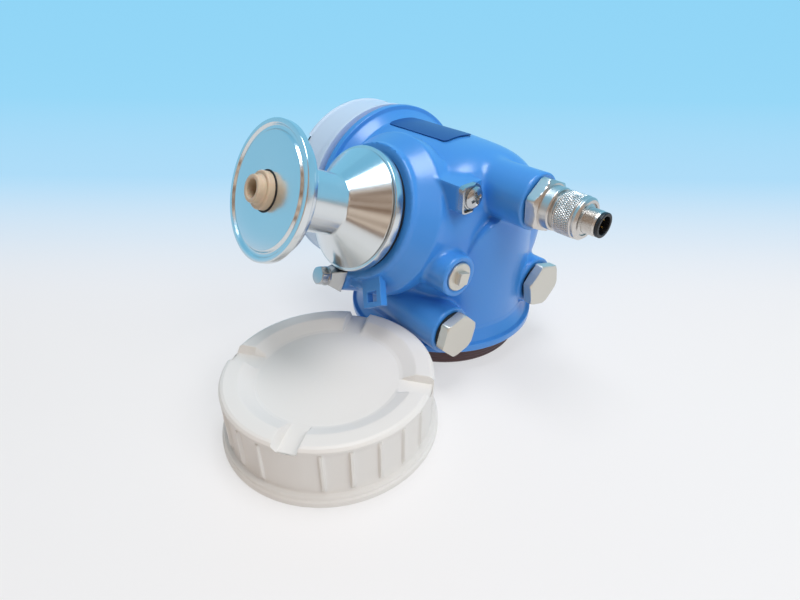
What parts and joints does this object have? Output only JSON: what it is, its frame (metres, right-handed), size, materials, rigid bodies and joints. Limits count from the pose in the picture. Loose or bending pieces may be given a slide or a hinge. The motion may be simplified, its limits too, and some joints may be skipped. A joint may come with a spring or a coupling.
{
  "type": "radar level transmitter",
  "caption": "Radar level transmitter head with a clamp ferrule, two-drum cast housing, connector and blanking plugs, one cover taken off.",
  "frame": {"origin": "middle of the ferrule's sealing face", "axes": "+Z along the process axis, up into the housing; +X towards the side of the open terminal compartment; -Y the way all the ports face"},
  "size_m": [0.1854, 0.1833, 0.2018],
  "materials": {
    "blue_powder_coat": "satin powder coat",
    "white_cover_coat": "matt powder coat",
    "turned_stainless": "fine turned and polished",
    "steel_hardware": "bright",
    "nickel_plate": "satin nickel",
    "plug_nickel": "satin nickel, machined",
    "probe_plastic": "beige high-temperature plastic",
    "black_rubber": "matt",
    "red_rubber": "matt",
    "black_plastic": "matt",
    "green_plastic": "matt",
    "potting": "matt",
    "white_plastic": "matt",
    "cable_brown": "matt",
    "gold_contact": "gold plated",
    "plate_foil": "dark printed foil, bare"
  },
  "bodies": {
    "adapter": {"process_adapter": "turned_stainless", "neck_ring": "black_rubber", "neck_seal": "black_rubber", "retaining_ring": "steel_hardware", "probe_bush": "probe_plastic", "bush_seal": "black_rubber", "coupling_stud": "gold_contact", "feed_insulator": "white_plastic"},
    "head": {"housing": "blue_powder_coat", "signal_cable": "cable_brown", "electronics_module": "potting", "module_screws": "steel_hardware", "feedthrough": "gold_contact", "terminal_block": "green_plastic", "terminal_screws": "nickel_plate", "inner_ground_screw": "nickel_plate", "electronics_seal": "red_rubber", "terminal_seal": "red_rubber", "terminal_cover": "white_cover_coat", "lock_clamp": "steel_hardware", "ground_saddle": "steel_hardware", "ground_screw": "steel_hardware", "m12_body": "nickel_plate", "m12_sleeve": "nickel_plate", "m12_insert": "black_plastic", "m12_pins": "gold_contact", "plug_right": "plug_nickel", "plug_right_seal": "black_rubber", "plug_left": "plug_nickel", "plug_left_seal": "black_rubber", "small_plug": "plug_nickel", "nameplate": "plate_foil"},
    "rear_cover": {"electronics_cover": "white_cover_coat"},
    "lock": {"lock_screw": "steel_hardware"}
  },
  "joints": [
    {"name": "housing_swivel", "type": "hinge", "parent": "adapter", "child": "head", "pos_m": [0, 0, 0.066], "axis": [0, 0, 1], "range_deg": [-175, 175]},
    {"name": "electronics_cover_turn", "type": "hinge", "parent": "head", "child": "rear_cover", "pos_m": [-0.0055, 0.0616, 0.1167], "axis": [0, 1, 0], "continuous": true},
    {"name": "lock_screw_turn", "type": "hinge", "parent": "head", "child": "lock", "pos_m": [0.03851, 0.00269, 0.055], "axis": [0, 0, 1], "continuous": true}
  ]
}
